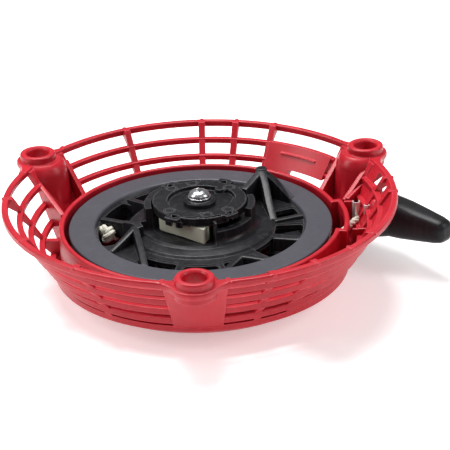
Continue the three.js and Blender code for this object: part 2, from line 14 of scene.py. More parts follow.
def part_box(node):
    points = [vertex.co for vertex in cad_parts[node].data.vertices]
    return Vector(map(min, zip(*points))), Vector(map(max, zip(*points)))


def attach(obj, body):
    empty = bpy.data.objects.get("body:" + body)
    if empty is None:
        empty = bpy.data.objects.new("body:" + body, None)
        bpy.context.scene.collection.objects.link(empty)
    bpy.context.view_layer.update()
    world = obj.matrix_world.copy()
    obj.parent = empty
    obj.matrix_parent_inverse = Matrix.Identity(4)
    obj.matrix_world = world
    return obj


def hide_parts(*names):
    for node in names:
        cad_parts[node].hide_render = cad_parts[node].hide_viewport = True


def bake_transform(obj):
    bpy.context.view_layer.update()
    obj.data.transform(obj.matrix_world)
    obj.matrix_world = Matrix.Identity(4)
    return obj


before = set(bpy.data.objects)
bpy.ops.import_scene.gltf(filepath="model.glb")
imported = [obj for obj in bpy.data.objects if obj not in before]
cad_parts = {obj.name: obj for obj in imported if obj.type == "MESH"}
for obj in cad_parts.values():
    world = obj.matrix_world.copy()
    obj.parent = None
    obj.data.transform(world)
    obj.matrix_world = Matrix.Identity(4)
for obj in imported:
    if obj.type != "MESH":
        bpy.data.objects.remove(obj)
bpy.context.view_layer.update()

# ------------------------------------------------------------ sizes, in millimetres

MM = 0.001

BOSS_ANGLES = (150, 30, -90)
BOSS_PITCH_R = 85
BOSS_TOP_Z = 45.5
BOSS_SHOULDER_Z = 42.4
BOSS_SEAT_Z = 37
BOSS_COLLAR_R = 8
BOSS_HOLE_R = 5.06
BOSS_COLUMN_R = 10.8
BOSS_POCKET_R = 8.3
BOSS_HALF_ANGLE = 9.1
SHOULDER_R = 9.7
BLEND_R = 12

RIM_R = 85
RIM_WIDTH = 2.9
RIM_BOTTOM_Z = 39.5
RIM_TOP_Z = 42.4
BAR_HEIGHT = 2.6
BAR_WIDTH = 2.6
ROWS = [(78.9 - 4.4 * row, 33.4 - 6.55 * row) for row in range(4)]
BASE_R = 64.2
BASE_Z = 9.7
CAGE_INNER_R = 62.4
RIB_WIDTH = 3
RIB_DEPTH = 4.2
RIB_ANGLES = (66.4, 79.2, 90.4, 115.6, 210.1, 234.5, -68.2, -54.8, -30.5, -0.8, 9)
LEFT_RIB_ANGLE = 179.9
GATE_ANGLES = (*RIB_ANGLES, LEFT_RIB_ANGLE, 139, 161, -99, -81, -42)
BAR_ARCS = [(38.8, 141.2), (158.8, 261.2), (-81.2, 21.2)]

WELL_INNER_R = 59
WELL_OUTER_R = 61.2
WELL_TOP_Z = 30
BULGE_INNER_R = 62.2
BULGE_OUTER_R = 64.5
BULGE_FROM = -12
BULGE_TO = 16

PULL_ANGLE = 43
GUIDE_AT = Vector((70.2, 11.5, 21.5))
GRIP_AXIS_Z = 19.5
GRIP_CENTRE_ALONG = 17.5
GRIP_HALF_LENGTH = 34.5
GRIP_ROLL = 4
ROPE_R = 1.4

REEL_R = 57
REEL_TOP_Z = 28.7
REEL_BOTTOM_Z = 15.7
BARREL_R = 47
DECK_TOP_Z = 26.7
DECK_BOTTOM_Z = 24.2
HUB_R = 24
HUB_INNER_R = 20.9
HUB_TOP_Z = 38.7
HUB_FLOOR_Z = 28.7
PAWL_PIVOT = (-13.5, -5.5)
GUIDE_R = 20.3
GUIDE_BOTTOM_Z = 36.2
GUIDE_TOP_Z = 40
MARK_ANGLES = (137, -43, -138, 42, -78, 102)


# ------------------------------------------------------------ shape helpers


def polar(r, angle, z=0.0):
    a = math.radians(angle)
    return Vector((r * math.cos(a), r * math.sin(a), z))


def cage_r(z):
    """Outer radius of the cage's cone at a height."""
    return ROWS[0][0] + (z - ROWS[0][1]) * 4.4 / 6.55


def arc(centre, r, start, end, step=12):
    """Points along an arc about a plan centre, angles in degrees."""
    count = max(1, round(abs(end - start) / step))
    turns = [math.radians(start + (end - start) * i / count) for i in range(count + 1)]
    return [(centre[0] + r * math.cos(a), centre[1] + r * math.sin(a)) for a in turns]


def rounded(corners, step=24):
    """Polygon from [x, y, radius] corners, each rounded to its radius."""
    points = []
    count = len(corners)
    for i, corner in enumerate(corners):
        here = Vector(corner[:2])
        radius = corner[2] if len(corner) > 2 else 0
        if radius <= 0:
            points.append(tuple(here))
            continue
        back = Vector(corners[i - 1][:2]) - here
        ahead = Vector(corners[(i + 1) % count][:2]) - here
        between = back.angle(ahead)
        reach = min(radius / math.tan(between / 2), 0.48 * back.length, 0.48 * ahead.length)
        radius = reach * math.tan(between / 2)
        middle = here + (back.normalized() + ahead.normalized()).normalized() * radius / math.sin(between / 2)
        first = here + back.normalized() * reach - middle
        last = here + ahead.normalized() * reach - middle
        turn = first.angle_signed(last)
        pieces = max(1, round(math.degrees(abs(turn)) / step))
        for k in range(pieces + 1):
            points.append(tuple(middle + Matrix.Rotation(-turn * k / pieces, 2) @ first))
    return points


def loft(rings, wrapped=False):
    """Closed solid through rings of points that match one to one."""
    bm = bmesh.new()
    rows = [[bm.verts.new(point) for point in ring] for ring in rings]
    pairs = list(zip(rows, rows[1:]))
    if wrapped:
        pairs.append((rows[-1], rows[0]))
    for low, high in pairs:
        for i in range(len(low)):
            j = (i + 1) % len(low)
            bm.faces.new((low[i], low[j], high[j], high[i]))
    if not wrapped:
        bm.faces.new(rows[0][::-1])
        bm.faces.new(rows[-1])
    bmesh.ops.remove_doubles(bm, verts=bm.verts, dist=1e-4)
    bmesh.ops.recalc_face_normals(bm, faces=bm.faces)
    return bm


def soften(bm, width, sharp=40):
    """Rounds every edge that is sharper than an angle."""
    if width > 0:
        limit = math.radians(sharp)
        edges = [e for e in bm.edges if len(e.link_faces) == 2 and e.calc_face_angle() > limit]
        bmesh.ops.bevel(bm, geom=edges, offset=width, offset_type="OFFSET", segments=2, profile=0.5,
                        affect="EDGES", clamp_overlap=True)
    return bm


def turned(profile, start=0, end=360, step=3, soft=0, centre=(0, 0)):
    """Solid of revolution of a closed [radius, height] profile, whole or through a range of angles."""
    whole = end - start >= 360
    count = max(2, round((end - start) / step))
    rings = []
    for i in range(count if whole else count + 1):
        a = math.radians(start + (end - start) * i / count)
        rings.append([(centre[0] + r * math.cos(a), centre[1] + r * math.sin(a), z) for r, z in profile])
    return soften(loft(rings, whole), soft)


def prism(outline, bottom, top, soft=0):
    return soften(loft([[(x, y, z) for x, y in outline] for z in (bottom, top)]), soft)


def turn_z(bm, angle):
    bmesh.ops.rotate(bm, verts=bm.verts, cent=(0, 0, 0), matrix=Matrix.Rotation(math.radians(angle), 3, "Z"))
    return bm


def move(bm, offset):
    bmesh.ops.translate(bm, verts=bm.verts, vec=offset)
    return bm


def radial_wall(profile, thickness, angle, soft=0.35):
    """Wall in the radial plane at an angle; the profile is [radius, height]."""
    sides = [[(r, y, z) for r, z in profile] for y in (-thickness / 2, thickness / 2)]
    return turn_z(soften(loft(sides), soft), angle)


def wall_between(start, end, bottom, thickness, soft=0.4):
    """Upright wall between plan points that carry their own top heights."""
    length = math.hypot(end[0] - start[0], end[1] - start[1])
    profile = [(0, bottom), (length, bottom), (length, end[2]), (0, start[2])]
    sides = [[(x, y, z) for x, z in profile] for y in (-thickness / 2, thickness / 2)]
    wall = soften(loft(sides), soft)
    turn_z(wall, math.degrees(math.atan2(end[1] - start[1], end[0] - start[0])))
    return move(wall, (start[0], start[1], 0))


def round_bar(r, bottom, top, x=0, y=0, soft=0, sides=32):
    return move(prism(arc((0, 0), r, 0, 360 - 360 / sides, 360 / sides), bottom, top, soft), (x, y, 0))


def blob(x, y, z, rx, ry, rz, angle=0):
    """Small rounded lump."""
    bm = bmesh.new()
    bmesh.ops.create_icosphere(bm, subdivisions=3, radius=1)
    bmesh.ops.scale(bm, verts=bm.verts, vec=(rx, ry, rz))
    return move(turn_z(bm, angle), (x, y, z))


def sector(r0, r1, start, end, bottom, top, soft=0, step=3, corner=0):
    """Plan sector between two radii, with rounded corners."""
    if corner > 0:
        inner = math.degrees(corner / r0)
        outer = math.degrees(corner / r1)
        outline = arc((0, 0), r1, start + outer, end - outer, step)
        outline += corner_arc(r1, end, outer, corner, -1) + corner_arc(r0, end, inner, corner, 1)[::-1]
        outline += arc((0, 0), r0, end - inner, start + inner, step)
        outline += corner_arc(r0, start, -inner, corner, 1) + corner_arc(r1, start, -outer, corner, -1)[::-1]
    else:
        outline = arc((0, 0), r1, start, end, step) + arc((0, 0), r0, end, start, step)
    return prism(outline, bottom, top, soft)


def corner_arc(r, angle, inset, corner, side):
    """Rounded corner of a sector, from its arc towards its straight end."""
    on_arc = polar(r, angle - inset)
    at_corner = polar(r, angle)
    on_end = polar(r + side * corner, angle)
    curve = [on_arc.lerp(at_corner, t).lerp(at_corner.lerp(on_end, t), t) for t in (0.25, 0.5, 0.75, 1)]
    return [tuple(point.xy) for point in curve]


def tube(points, radius, sides=10, flat=1.0):
    """Round cord along points, with its sections kept square to the path."""
    path = [Vector(p) for p in points]
    rings = []
    side = None
    for i, here in enumerate(path):
        ahead = (path[min(i + 1, len(path) - 1)] - path[max(i - 1, 0)]).normalized()
        if side is None:
            side = ahead.orthogonal().normalized()
        side = (side - ahead * side.dot(ahead)).normalized()
        up = ahead.cross(side)
        turns = [2 * math.pi * k / sides for k in range(sides)]
        rings.append([here + radius * (side * math.cos(a) + up * math.sin(a) * flat) for a in turns])
    return loft(rings)


def smooth_path(points, per_span=8):
    """Points of a smooth curve through the given ones."""
    p = [Vector(q) for q in points]
    p = [2 * p[0] - p[1]] + p + [2 * p[-1] - p[-2]]
    line = []
    for a, b, c, d in zip(p, p[1:], p[2:], p[3:]):
        for k in range(per_span):
            t = k / per_span
            line.append(0.5 * (2 * b + (c - a) * t + (2 * a - 5 * b + 4 * c - d) * t * t
                               + (3 * b - a - 3 * c + d) * t ** 3))
    return line + [p[-2]]


def as_object(name, bm):
    mesh = bpy.data.meshes.new(name)
    bm.to_mesh(mesh)
    bm.free()
    obj = bpy.data.objects.new(name, mesh)
    bpy.context.scene.collection.objects.link(obj)
    return obj


def shaped(name, steps):
    """One solid from (operation, solid) steps; the first step's solid is the start."""
    piece = as_object(name, steps[0][1])
    tools = []
    for operation, solid in steps[1:]:
        tool = as_object(name + "_tool", solid)
        cut = piece.modifiers.new(operation.lower(), "BOOLEAN")
        cut.operation = operation
        cut.solver = "MANIFOLD"
        cut.object = tool
        tools.append(tool)
    graph = bpy.context.evaluated_depsgraph_get()
    mesh = bpy.data.meshes.new_from_object(piece.evaluated_get(graph))
    piece.modifiers.clear()
    piece.data = mesh
    for tool in tools:
        bpy.data.objects.remove(tool)
    return piece


def joined(solids):
    return [("UNION", solid) for solid in solids]


def away(solids):
    return [("DIFFERENCE", solid) for solid in solids]


def fit_out(piece, body, material, replaced=(), sharp=32, even=True):
    """Scales a piece to metres, shades it, and puts it on its body."""
    mesh = piece.data
    mesh.transform(Matrix.Scale(MM, 4))
    mesh.materials.clear()
    mesh.materials.append(material)
    mesh.shade_smooth()
    mesh.set_sharp_from_angle(angle=math.radians(sharp))
    if even:
        shading = piece.modifiers.new("even shading", "WEIGHTED_NORMAL")
        shading.keep_sharp = True
        shading.weight = 60
    if body:
        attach(piece, body)
    if replaced:
        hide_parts(*replaced)
    return piece


# ------------------------------------------------------------ camera, light and floor

VIEW_AZIMUTH = 2.12
VIEW_ELEVATION = 25.31
VIEW_ROLL = -2.23
VIEW_DISTANCE = 842.9
VIEW_TARGET = Vector((0, 0, 27))
LENS = 155.7
LENS_SHIFT = (0.0545, 0.002)
FLOOR_REACH = 6000


def add_camera():
    a, e, roll = (math.radians(v) for v in (VIEW_AZIMUTH, VIEW_ELEVATION, VIEW_ROLL))
    back = Vector((math.sin(a) * math.cos(e), -math.cos(a) * math.cos(e), math.sin(e)))
    right = (-back).cross(Vector((0, 0, 1))).normalized()
    up = right.cross(-back)
    rolled_right = right * math.cos(roll) + up * math.sin(roll)
    rolled_up = up * math.cos(roll) - right * math.sin(roll)
    data = bpy.data.cameras.new("camera")
    camera = bpy.data.objects.new("camera", data)
    bpy.context.scene.collection.objects.link(camera)
    turn = Matrix((rolled_right, rolled_up, back)).transposed()
    camera.matrix_world = Matrix.Translation((VIEW_TARGET + back * VIEW_DISTANCE) * MM) @ turn.to_4x4()
    data.sensor_width = 36
    data.lens = LENS
    data.shift_x, data.shift_y = LENS_SHIFT
    data.clip_start = 0.05
    data.clip_end = 20
    bpy.context.scene.camera = camera


def add_light(name, position, size, power, target=(0, 0, 0.03), tint=(1, 1, 1)):
    data = bpy.data.lights.new(name, "AREA")
    data.shape = "RECTANGLE"
    data.size, data.size_y = size
    data.energy = power
    data.color = tint
    lamp = bpy.data.objects.new(name, data)
    bpy.context.scene.collection.objects.link(lamp)
    lamp.location = position
    lamp.rotation_mode = "QUATERNION"
    lamp.rotation_quaternion = (Vector(target) - Vector(position)).to_track_quat("-Z", "Y")


def add_stage():
    corners = [(-FLOOR_REACH, -FLOOR_REACH), (FLOOR_REACH, -FLOOR_REACH), (FLOOR_REACH, FLOOR_REACH),
               (-FLOOR_REACH, FLOOR_REACH)]
    floor = as_object("floor", prism(corners, -20, -0.05))
    floor.data.transform(Matrix.Scale(MM, 4))
    material = bpy.data.materials.new("pale floor")
    material.use_nodes = True
    shader = material.node_tree.nodes["Principled BSDF"]
    shader.inputs["Base Color"].default_value = (0.9, 0.9, 0.9, 1)
    shader.inputs["Roughness"].default_value = 0.6
    shader.inputs["Emission Color"].default_value = (1, 1, 1, 1)
    shader.inputs["Emission Strength"].default_value = 0.4
    floor.data.materials.append(material)
    world = bpy.data.worlds.new("studio")
    world.use_nodes = True
    world.node_tree.nodes["Background"].inputs["Color"].default_value = (1, 1, 1, 1)
    world.node_tree.nodes["Background"].inputs["Strength"].default_value = 0.2
    bpy.context.scene.world = world
    bpy.context.scene.view_settings.view_transform = "Standard"
    add_light("overhead softbox", (-0.1, 0.3, 0.9), (0.6, 0.45), 13)
    add_light("front softbox", (0.35, -0.85, 0.65), (0.5, 0.35), 0.8)
    add_light("right strip", (0.85, -0.15, 0.5), (0.25, 0.7), 3.5)
    add_light("left strip", (-0.8, -0.1, 0.5), (0.25, 0.7), 4)


add_camera()
add_stage()


# ------------------------------------------------------------ finishes


def new_group(name, inputs, outputs):
    group = bpy.data.node_groups.new(name, "ShaderNodeTree")
    for label, kind, value in inputs:
        socket = group.interface.new_socket(name=label, in_out="INPUT", socket_type=kind)
        socket.default_value = value
    for label, kind in outputs:
        group.interface.new_socket(name=label, in_out="OUTPUT", socket_type=kind)
    return group, group.nodes.new("NodeGroupInput"), group.nodes.new("NodeGroupOutput")


def node(tree, kind, links=(), **settings):
    """Adds a node; settings are its properties, or input values under in_0, in_1 and so on."""
    made = tree.nodes.new(kind)
    for key, value in settings.items():
        if key.startswith("in_"):
            made.inputs[int(key[3:])].default_value = value
        else:
            setattr(made, key, value)
    for index, source in links:
        tree.links.new(source, made.inputs[index])
    return made


def scaled_place(tree, stretch=(1, 1, 1)):
    """Place on the object, in metres, stretched along each axis."""
    place = node(tree, "ShaderNodeTexCoord")
    return node(tree, "ShaderNodeMapping", [(0, place.outputs["Object"])], in_3=stretch)


def edge_group():
    """Rounded-off normals at corners, and a mask that is 1 on edges, which carry wear and a painted
    highlight.
    """
    group, given, out = new_group(
        "rounded edges", [("Radius", "NodeSocketFloat", 0.0003), ("Amount", "NodeSocketFloat", 1.0)],
        [("Normal", "NodeSocketVector"), ("Edge", "NodeSocketFloat")])
    bevel = node(group, "ShaderNodeBevel", [(0, given.outputs["Radius"])], samples=4)
    wide = node(group, "ShaderNodeBevel", samples=4, in_0=0.0007)
    plain = node(group, "ShaderNodeNewGeometry")
    match = node(group, "ShaderNodeVectorMath",
                 [(0, wide.outputs[0]), (1, plain.outputs["Normal"])], operation="DOT_PRODUCT")
    edge = node(group, "ShaderNodeMapRange", [(0, match.outputs["Value"])],
                in_1=0.995, in_2=0.86, in_3=0, in_4=1)
    scaled = node(group, "ShaderNodeMath", [(0, edge.outputs[0]), (1, given.outputs["Amount"])],
                  operation="MULTIPLY")
    group.links.new(bevel.outputs[0], out.inputs["Normal"])
    group.links.new(scaled.outputs[0], out.inputs["Edge"])
    return group


def moulding_group():
    """Moulded plastic: soft mottling, faint flow streaks, a fine grain and stray scuffs."""
    group, given, out = new_group(
        "moulded surface",
        [("Grain Scale", "NodeSocketFloat", 2600.0), ("Mottle Scale", "NodeSocketFloat", 45.0)],
        [("Mottle", "NodeSocketFloat"), ("Streak", "NodeSocketFloat"), ("Grain", "NodeSocketFloat"),
         ("Scuff", "NodeSocketFloat")])
    place = scaled_place(group)
    drawn = scaled_place(group, (1, 1, 0.12))
    mottle = node(group, "ShaderNodeTexNoise",
                  [(0, place.outputs[0]), (2, given.outputs["Mottle Scale"])], in_3=4)
    streak = node(group, "ShaderNodeTexNoise", [(0, drawn.outputs[0])], in_2=420, in_3=3)
    grain = node(group, "ShaderNodeTexNoise",
                 [(0, place.outputs[0]), (2, given.outputs["Grain Scale"])], in_3=2)
    crossed = scaled_place(group, (0.15, 1, 1))
    lines = node(group, "ShaderNodeTexNoise", [(0, crossed.outputs[0])], in_2=900, in_3=2)
    scuff = node(group, "ShaderNodeMapRange", [(0, lines.outputs[0])], in_1=0.66, in_2=0.74, in_3=0, in_4=1)
    patch = node(group, "ShaderNodeMapRange", [(0, mottle.outputs[0])], in_1=0.5, in_2=0.7, in_3=0, in_4=1)
    both = node(group, "ShaderNodeMath", [(0, scuff.outputs[0]), (1, patch.outputs[0])], operation="MULTIPLY")
    for source, label in ((mottle, "Mottle"), (streak, "Streak"), (grain, "Grain"), (both, "Scuff")):
        group.links.new(source.outputs[0], out.inputs[label])
    return group


EDGES = edge_group()
MOULDING = moulding_group()


def blended(tree, low, high, factor):
    mix = node(tree, "ShaderNodeMix", data_type="RGBA")
    mix.inputs["A"].default_value = (*low, 1) if isinstance(low, tuple) else (0, 0, 0, 1)
    mix.inputs["B"].default_value = (*high, 1)
    if not isinstance(low, tuple):
        tree.links.new(low, mix.inputs["A"])
    tree.links.new(factor, mix.inputs["Factor"])
    return mix.outputs["Result"]


def ranged(tree, source, low, high, start=0.3, end=0.7):
    """Source value, with its stretch from start to end mapped onto low to high."""
    mapped = node(tree, "ShaderNodeMapRange", [(0, source)], in_1=start, in_2=end, in_3=low, in_4=high)
    return mapped.outputs[0]


# Greyer colour for the reel's flange top: partly dust, partly a painted sheen.
DUST_AND_SHEEN_COLOUR = (0.062, 0.062, 0.074)
DUST_AND_SHEEN_EDGE = 0.0006


def moulded_plastic(name, dark, light, edge, rough, grain_height, edge_amount=0.6, specular=0.5,
                    dust_and_sheen_from=None):
    """Plastic as moulded: two close colours mottled together, paler edges, and a fine grain.

    Beyond a given radius, in metres, it turns greyer: partly settled dust, partly a painted sheen.
    """
    material = bpy.data.materials.new(name)
    material.use_nodes = True
    tree = material.node_tree
    shader = tree.nodes["Principled BSDF"]
    surface = node(tree, "ShaderNodeGroup", node_tree=MOULDING)
    edges = node(tree, "ShaderNodeGroup", node_tree=EDGES)
    edges.inputs["Amount"].default_value = edge_amount
    base = blended(tree, dark, light, ranged(tree, surface.outputs["Mottle"], 0, 1))
    # Painted sheen together with dust: the colour turns greyer beyond the radius.
    if dust_and_sheen_from:
        flat_place = node(tree, "ShaderNodeVectorMath", [(0, scaled_place(tree, (1, 1, 0)).outputs[0])],
                          operation="LENGTH")
        dust_and_sheen = ranged(tree, flat_place.outputs["Value"], 0, 1, dust_and_sheen_from - DUST_AND_SHEEN_EDGE, dust_and_sheen_from + DUST_AND_SHEEN_EDGE)
        base = blended(tree, base, DUST_AND_SHEEN_COLOUR, dust_and_sheen)
    streaked = blended(tree, base, edge, ranged(tree, surface.outputs["Streak"], 0, 0.09, 0.5, 0.75))
    scuffed = blended(tree, streaked, edge, ranged(tree, surface.outputs["Scuff"], 0, 0.4, 0, 1))
    # Paler edges: partly wear, partly a painted highlight.
    worn_and_highlit = blended(tree, scuffed, edge, edges.outputs["Edge"])
    tree.links.new(worn_and_highlit, shader.inputs["Base Color"])
    tree.links.new(ranged(tree, surface.outputs["Mottle"], rough[0], rough[1]), shader.inputs["Roughness"])
    bump = node(tree, "ShaderNodeBump", in_0=0.35, in_1=grain_height)
    tree.links.new(surface.outputs["Grain"], bump.inputs["Height"])
    tree.links.new(edges.outputs["Normal"], bump.inputs["Normal"])
    tree.links.new(bump.outputs[0], shader.inputs["Normal"])
    shader.inputs["Specular IOR Level"].default_value = specular
    return material


def bright_metal(name, dark, light, rough, stretch=(1, 1, 1), metallic=1):
    """Drawn or plated steel, with fine lines and slight clouding."""
    material = bpy.data.materials.new(name)
    material.use_nodes = True
    tree = material.node_tree
    shader = tree.nodes["Principled BSDF"]
    surface = node(tree, "ShaderNodeGroup", node_tree=MOULDING)
    edges = node(tree, "ShaderNodeGroup", node_tree=EDGES)
    edges.inputs["Radius"].default_value = 0.00015
    lines = node(tree, "ShaderNodeTexNoise", [(0, scaled_place(tree, stretch).outputs[0])], in_2=1500, in_3=3)
    clouded = blended(tree, dark, light, ranged(tree, lines.outputs[0], 0, 1))
    tree.links.new(clouded, shader.inputs["Base Color"])
    tree.links.new(ranged(tree, surface.outputs["Mottle"], rough[0], rough[1]), shader.inputs["Roughness"])
    bump = node(tree, "ShaderNodeBump", in_0=0.2, in_1=0.00004)
    tree.links.new(lines.outputs[0], bump.inputs["Height"])
    tree.links.new(edges.outputs["Normal"], bump.inputs["Normal"])
    tree.links.new(bump.outputs[0], shader.inputs["Normal"])
    shader.inputs["Metallic"].default_value = metallic
    return material


def cord_fibre(name, dark, light):
    """Synthetic cord: fine fibres across the strands, darker where dust has settled."""
    material = bpy.data.materials.new(name)
    material.use_nodes = True
    tree = material.node_tree
    shader = tree.nodes["Principled BSDF"]
    place = scaled_place(tree)
    fibres = node(tree, "ShaderNodeTexWave", [(0, place.outputs[0])], in_1=900, in_2=6, in_3=3,
                  bands_direction="DIAGONAL")
    clouds = node(tree, "ShaderNodeTexNoise", [(0, place.outputs[0])], in_2=350, in_3=4)
    both = node(tree, "ShaderNodeMath", [(0, fibres.outputs["Fac"]), (1, clouds.outputs[0])],
                operation="MULTIPLY")
    tree.links.new(blended(tree, dark, light, ranged(tree, both.outputs[0], 0, 1, 0.05, 0.5)),
                   shader.inputs["Base Color"])
    bump = node(tree, "ShaderNodeBump", in_0=0.6, in_1=0.0002)
    tree.links.new(both.outputs[0], bump.inputs["Height"])
    tree.links.new(bump.outputs[0], shader.inputs["Normal"])
    shader.inputs["Roughness"].default_value = 0.85
    shader.inputs["Sheen Weight"].default_value = 0.3
    return material


red_plastic = moulded_plastic("red housing plastic", (0.36, 0.0065, 0.015), (0.47, 0.010, 0.022),
                              (0.74, 0.07, 0.1), (0.28, 0.42), 0.00004, 0.6, 0.32)
# The reel's flange top is greyer: partly dust, partly a painted sheen.
black_plastic = moulded_plastic("charcoal reel plastic", (0.0075, 0.0075, 0.009), (0.014, 0.014, 0.017),
                                (0.17, 0.17, 0.18), (0.26, 0.4), 0.00004, 0.4, 0.18,
                                dust_and_sheen_from=0.0452)
# Its pale edge colour and large edge amount paint highlights along the disc's edges.
guide_plastic = moulded_plastic("charcoal guide plastic", (0.006, 0.006, 0.0075), (0.011, 0.011, 0.0135),
                                (0.2, 0.2, 0.21), (0.24, 0.36), 0.00003, 0.65, 0.17)
grip_plastic = moulded_plastic("black grip plastic", (0.006, 0.006, 0.007), (0.01, 0.01, 0.012),
                               (0.08, 0.08, 0.085), (0.3, 0.4), 0.00003, 0.2, 0.18)
pawl_nylon = moulded_plastic("natural nylon", (0.36, 0.38, 0.3), (0.5, 0.52, 0.42), (0.72, 0.72, 0.62),
                             (0.4, 0.55), 0.00005, 0.5)
plated_steel = bright_metal("plated steel", (0.4, 0.41, 0.43), (0.62, 0.63, 0.65), (0.2, 0.34))
liner_steel = bright_metal("bright steel sheet", (0.6, 0.6, 0.58), (0.9, 0.9, 0.88), (0.2, 0.34),
                           (1, 1, 0.1), metallic=0.6)
spring_steel = bright_metal("blued spring steel", (0.16, 0.17, 0.19), (0.3, 0.31, 0.33), (0.25, 0.4),
                            (0.1, 0.1, 1))
rope_fibre = cord_fibre("off-white cord", (0.52, 0.5, 0.4), (0.86, 0.84, 0.74))


# ------------------------------------------------------------ housing: louvred cage


def stepped_edge(bottom=BASE_Z):
    """Outer [radius, height] edge of the cage, stepped at each bar."""
    edge = [(BASE_R, BASE_Z), (BASE_R, BASE_Z + BAR_HEIGHT)]
    for r, z in reversed(ROWS):
        edge += [(r, z), (r, z + BAR_HEIGHT)]
    edge += [(RIM_R - 0.4, RIM_BOTTOM_Z), (RIM_R - 0.4, RIM_TOP_Z)]
    return [point for point in edge if point[1] >= bottom]


def band(r_top, z, width, soft, arcs):
    """Bar of one louvre row through each range of angles."""
    profile = rounded([(r_top - width, z, 0.5), (r_top, z, soft), (r_top, z + BAR_HEIGHT, soft),
                       (r_top - width, z + BAR_HEIGHT, 0.5)], 30)
    return [turned(profile, start, end, 2.5) for start, end in arcs]


def cage_parts():
    rim_inner_r = RIM_R - RIM_WIDTH
    rim = rounded([(rim_inner_r, RIM_BOTTOM_Z, 0.6), (RIM_R, RIM_BOTTOM_Z, 0.7),
                   (RIM_R, RIM_TOP_Z, 0.8), (rim_inner_r, RIM_TOP_Z, 0.7)], 30)
    parts = [turned(rim, step=2.5)]
    base = [(CAGE_INNER_R, BASE_Z), (BASE_R, BASE_Z), (BASE_R, BASE_Z + BAR_HEIGHT),
            (CAGE_INNER_R, BASE_Z + BAR_HEIGHT)]
    parts.append(turned(base, step=2.5))
    for r, z in ROWS:
        parts += band(r, z, BAR_WIDTH, 0.4, BAR_ARCS)
    inner = [(RIM_R - RIB_DEPTH, RIM_TOP_Z), (CAGE_INNER_R, BASE_Z + RIB_DEPTH), (CAGE_INNER_R, BASE_Z)]
    parts += [radial_wall(stepped_edge() + inner, RIB_WIDTH, angle, 0.25) for angle in RIB_ANGLES]
    deep = [(RIM_R - RIB_DEPTH, RIM_TOP_Z), (67.9, 22), (61, 22), (61, BASE_Z)]
    parts.append(radial_wall(stepped_edge() + deep, RIB_WIDTH, LEFT_RIB_ANGLE, 0.25))
    for angle in GATE_ANGLES:
        gate = rounded([(RIM_R - 3.2, RIM_TOP_Z - 1, 0), (RIM_R + 0.25, RIM_TOP_Z - 1, 0),
                        (RIM_R + 0.25, RIM_TOP_Z + 0.1, 0.3), (RIM_R - 3.2, RIM_TOP_Z + 0.2, 0.15)])
        parts.append(radial_wall(gate, 1.5, angle, 0.2))
    return parts


def blind_sheet(start, end, bottom, top, thickness=2.4):
    """Solid part of the cage, stepped outside and plain inside."""
    edge = stepped_edge(bottom)
    edge = [point for point in edge if point[1] <= top]
    inner = [(cage_r(top) - thickness, top), (cage_r(bottom) - thickness, bottom)]
    return turned(edge + inner, start, end, 2.5)


def blind_slots():
    """Shallow blind slots in the solid bay right of the front boss."""
    cuts = []
    for row, start, end in ((0, -51, -37), (2, -51, -40), (3, -51, -43)):
        low_r, low_z = (ROWS[row][0], ROWS[row][1] + BAR_HEIGHT)
        high_r, high_z = (RIM_R - 0.4, RIM_BOTTOM_Z) if row == 0 else ROWS[row - 1]
        cut = [(low_r - 0.8, low_z + 0.3), (low_r + 9, low_z + 0.3), (high_r + 9, high_z - 0.3),
               (high_r - 1.2, high_z - 0.3)]
        cuts.append(turned(cut, start, end, 2.5))
    return cuts


def chamber_slots():
    """Small windows above the rope chamber."""
    return [turned([(70, low), (95, low), (95, high), (70, high)], start, end, 2)
            for start, end, low, high in ((10.8, 15.4, 36.2, 40.8), (5, 9, 36, 40.2))]


# ------------------------------------------------------------ housing: mounting bosses


def shoulder_outline():
    """Plan outline of a boss's shoulder about angle 0, blended into the rim on both sides."""
    touch = RIM_R + BLEND_R
    y_centre = SHOULDER_R + BLEND_R
    x = (touch ** 2 - y_centre ** 2 + BOSS_PITCH_R ** 2) / (2 * BOSS_PITCH_R)
    y = math.sqrt(touch ** 2 - x ** 2)
    rim_angle = math.degrees(math.atan2(y, x))
    boss_angle = math.degrees(math.atan2(y, x - BOSS_PITCH_R))
    outer = arc((BOSS_PITCH_R, 0), SHOULDER_R, -boss_angle, boss_angle, 10)
    upper = arc((x, y), BLEND_R, boss_angle + 180, rim_angle + 180, 8)[1:]
    lower = [(px, -py) for px, py in upper][::-1]
    rim_inner = arc((0, 0), RIM_R - RIM_WIDTH, rim_angle, -rim_angle, 3)
    return outer + upper + rim_inner + lower


# Top end and foot of each web that runs from a boss down to the drum well.
BOSS_WEBS = [
    ((63.5, 48.5, 40.2), (53, 32, 28.2)), ((75.6, 35, 41), (63, 19.6, 29)),
    ((-78, 38, 39.8), (-60.6, 11.5, 28.6)),
    ((-61.5, 46.7, 39.8), (-52.6, 33.4, 27.8)), ((10.8, -80, 40), (8.2, -60.4, 28.6)),
    ((-10.8, -80, 40), (-8.2, -60.4, 28.6)),
]


def boss_columns():
    """Bored columns with their webs, before the cage's cone trims them."""
    solids = []
    for angle in BOSS_ANGLES:
        rings = []
        for z, extra in ((14, 1.1), (24, 0.7), (33, 0.2), (37, 0), (38.3, -0.1), (39.5, -0.5), (40.6, -0.9),
                         (41.5, -1.4), (BOSS_SHOULDER_Z - 0.1, -2.6)):
            middle = BOSS_PITCH_R - 2.2 - 0.09 * (RIM_TOP_Z - z)
            ring = arc((middle, 0), BOSS_COLUMN_R + extra, 0, 350, 10)
            rings.append([(x, y, z) for x, y in ring])
        solids.append(turn_z(loft(rings), angle))
    solids += [wall_between(high, low, 12, 2.2, 0.35) for high, low in BOSS_WEBS]
    return solids


